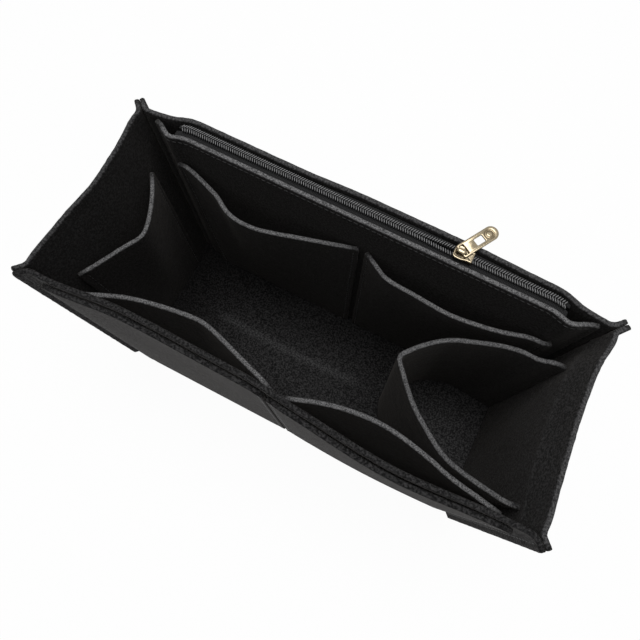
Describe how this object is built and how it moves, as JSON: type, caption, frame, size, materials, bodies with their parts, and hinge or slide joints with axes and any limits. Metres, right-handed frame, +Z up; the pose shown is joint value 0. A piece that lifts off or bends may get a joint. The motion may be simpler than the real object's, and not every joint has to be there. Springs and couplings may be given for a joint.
{
  "type": "purse organizer insert",
  "caption": "Soft black felt handbag insert, open at the top, with slip pockets inside, a rounded bottle compartment and a zipped back pocket with a gold pull.",
  "frame": {"origin": "middle of the base panel's underside, on the surface it stands on", "axes": "+X along the box towards the bottle compartment, +Y towards the zipped back wall, +Z up"},
  "size_m": [0.2662, 0.127, 0.1433],
  "materials": {
    "felt": "thick black needle felt with cut edges",
    "tape": "black woven polyester tape",
    "coil": "black nylon filament",
    "pull_metal": "bright light gold plating"
  },
  "bodies": {
    "insert": {"base_panel": "felt", "front_wall": "felt", "back_wall": "felt", "left_end_wall": "felt", "right_end_wall": "felt", "zip_pocket_panel": "felt", "back_slip_pocket_left": "felt", "back_slip_pocket_right": "felt", "front_slip_pocket_left": "felt", "front_slip_pocket_right": "felt", "left_end_pocket": "felt", "right_end_pocket": "felt", "front_outer_pocket_left": "felt", "front_outer_pocket_right": "felt", "zipper_tape_front": "tape", "zipper_tape_back": "tape", "zipper_coil_front": "coil", "zipper_coil_back": "coil"},
    "slider": {"zipper_slider": "pull_metal"},
    "pull": {"zipper_pull": "pull_metal"}
  },
  "joints": [
    {"name": "zip_slide", "type": "slide", "parent": "insert", "child": "slider", "axis": [1, 0, 0], "range_m": [-0.144, 0.042], "deforming": ["zipper_coil_front", "zipper_coil_back", "zipper_tape_front", "zipper_tape_back"]},
    {"name": "pull_swing", "type": "hinge", "parent": "slider", "child": "pull", "pos_m": [0.0464, 0.0511, 0.14172], "axis": [0.866, -0.5, 0], "range_deg": [0, 180]}
  ]
}
